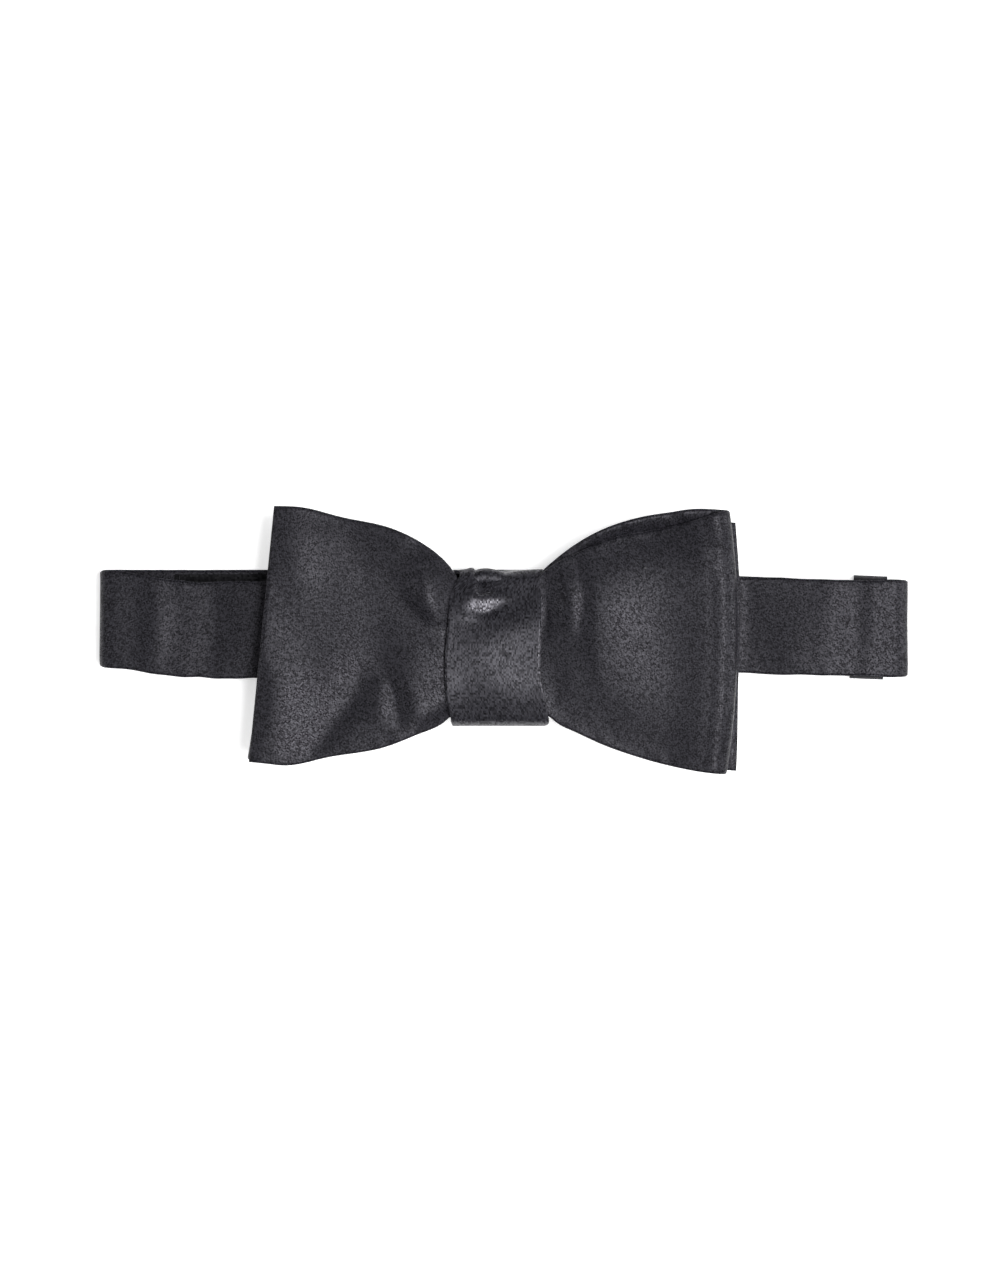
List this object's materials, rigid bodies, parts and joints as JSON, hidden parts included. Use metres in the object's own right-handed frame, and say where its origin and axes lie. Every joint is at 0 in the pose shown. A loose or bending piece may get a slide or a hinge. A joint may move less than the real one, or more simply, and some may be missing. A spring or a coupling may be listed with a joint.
{
  "type": "bow tie",
  "caption": "Pre-tied satin bow tie with two lined blades, a wrapped knot and an adjustable neckband clasped by a hook and eye, lying flat.",
  "frame": {"origin": "on the table under the middle of the tie, which lies on the back of its neckband with the bow's face up", "axes": "+X along the band towards the adjuster's fold, +Y towards the wearer's chin, +Z out of the bow's face"},
  "size_m": [0.197, 0.0652, 0.0158],
  "materials": {
    "satin": "charcoal satin weave",
    "interlining": "unbleached interlining",
    "label": "matte black woven tape",
    "thread": "dark polyester thread",
    "clasp_metal": "black nickel, satin"
  },
  "bodies": {
    "band_back": {"back_centre_satin": "satin", "back_centre_interlining": "interlining"},
    "left_back": {"left_back_satin": "satin", "left_back_interlining": "interlining", "woven_label": "label", "label_stitches": "thread"},
    "left_front": {"left_front_satin": "satin", "left_front_interlining": "interlining", "left_fold_satin": "satin"},
    "bow": {"front_blade_satin": "satin", "front_blade_interlining": "interlining", "back_blade_satin": "satin", "back_blade_interlining": "interlining", "knot_wrap_satin": "satin", "knot_wrap_interlining": "interlining", "knot_closing_stitches": "thread", "band_in_knot_satin": "satin", "band_in_knot_interlining": "interlining", "band_tack_stitches": "thread"},
    "right_front": {"right_front_satin": "satin", "right_front_interlining": "interlining", "right_fold_satin": "satin"},
    "right_back": {"eye_loop": "clasp_metal", "strap_eye_turn": "satin", "strap_lower_run": "satin", "strap_upper_run": "satin", "strap_feed": "satin"},
    "adjuster": {"adjuster_slide": "clasp_metal", "strap_weave": "satin", "strap_tail": "satin", "tail_stitches": "thread"},
    "hook_end": {"hook_end_satin": "satin", "hook_end_stitches": "thread"},
    "hook": {"hook": "clasp_metal"}
  },
  "joints": [
    {"name": "neckband_open", "type": "hinge", "parent": "band_back", "child": "left_back", "pos_m": [-0.015, 0.0054, 0.0006], "axis": [0, 1, 0], "range_deg": [0, 50]},
    {"name": "left_fold_open", "type": "hinge", "parent": "left_back", "child": "left_front", "pos_m": [-0.0948, 0.0052, 0.0037], "axis": [0, 1, 0], "range_deg": [-100, 0], "deforming": ["left_fold_satin"]},
    {"name": "left_knot_bend", "type": "hinge", "parent": "left_front", "child": "bow", "pos_m": [-0.015, 0.0024, 0.0068], "axis": [0, 1, 0], "range_deg": [0, 50]},
    {"name": "right_knot_bend", "type": "hinge", "parent": "bow", "child": "right_front", "pos_m": [0.015, 0.0036, 0.0068], "axis": [0, 1, 0], "range_deg": [0, 50]},
    {"name": "right_fold_open", "type": "hinge", "parent": "right_front", "child": "right_back", "pos_m": [0.0948, 0.0028, 0.0037], "axis": [0, 1, 0], "range_deg": [-100, 0], "deforming": ["right_fold_satin"]},
    {"name": "hook_end_bend", "type": "hinge", "parent": "band_back", "child": "hook_end", "pos_m": [0.015, 0.0054, 0.0006], "axis": [0, 1, 0], "range_deg": [-50, 0]},
    {"name": "adjuster_travel", "type": "slide", "parent": "right_back", "child": "adjuster", "axis": [-0.9991, 0.0419, 0], "range_m": [0, 0.037], "deforming": ["strap_lower_run", "strap_upper_run", "strap_feed"]},
    {"name": "hook_release", "type": "hinge", "parent": "hook_end", "child": "hook", "pos_m": [0.02445, 0.0054, 0.0022], "axis": [0, -1, 0], "range_deg": [0, 20]}
  ],
  "couplings": [
    {"joint": "left_fold_open", "follows": "neckband_open", "ratio": -2},
    {"joint": "left_knot_bend", "follows": "neckband_open", "ratio": 1},
    {"joint": "right_knot_bend", "follows": "neckband_open", "ratio": 1},
    {"joint": "right_fold_open", "follows": "neckband_open", "ratio": -2},
    {"joint": "hook_end_bend", "follows": "neckband_open", "ratio": -1}
  ]
}
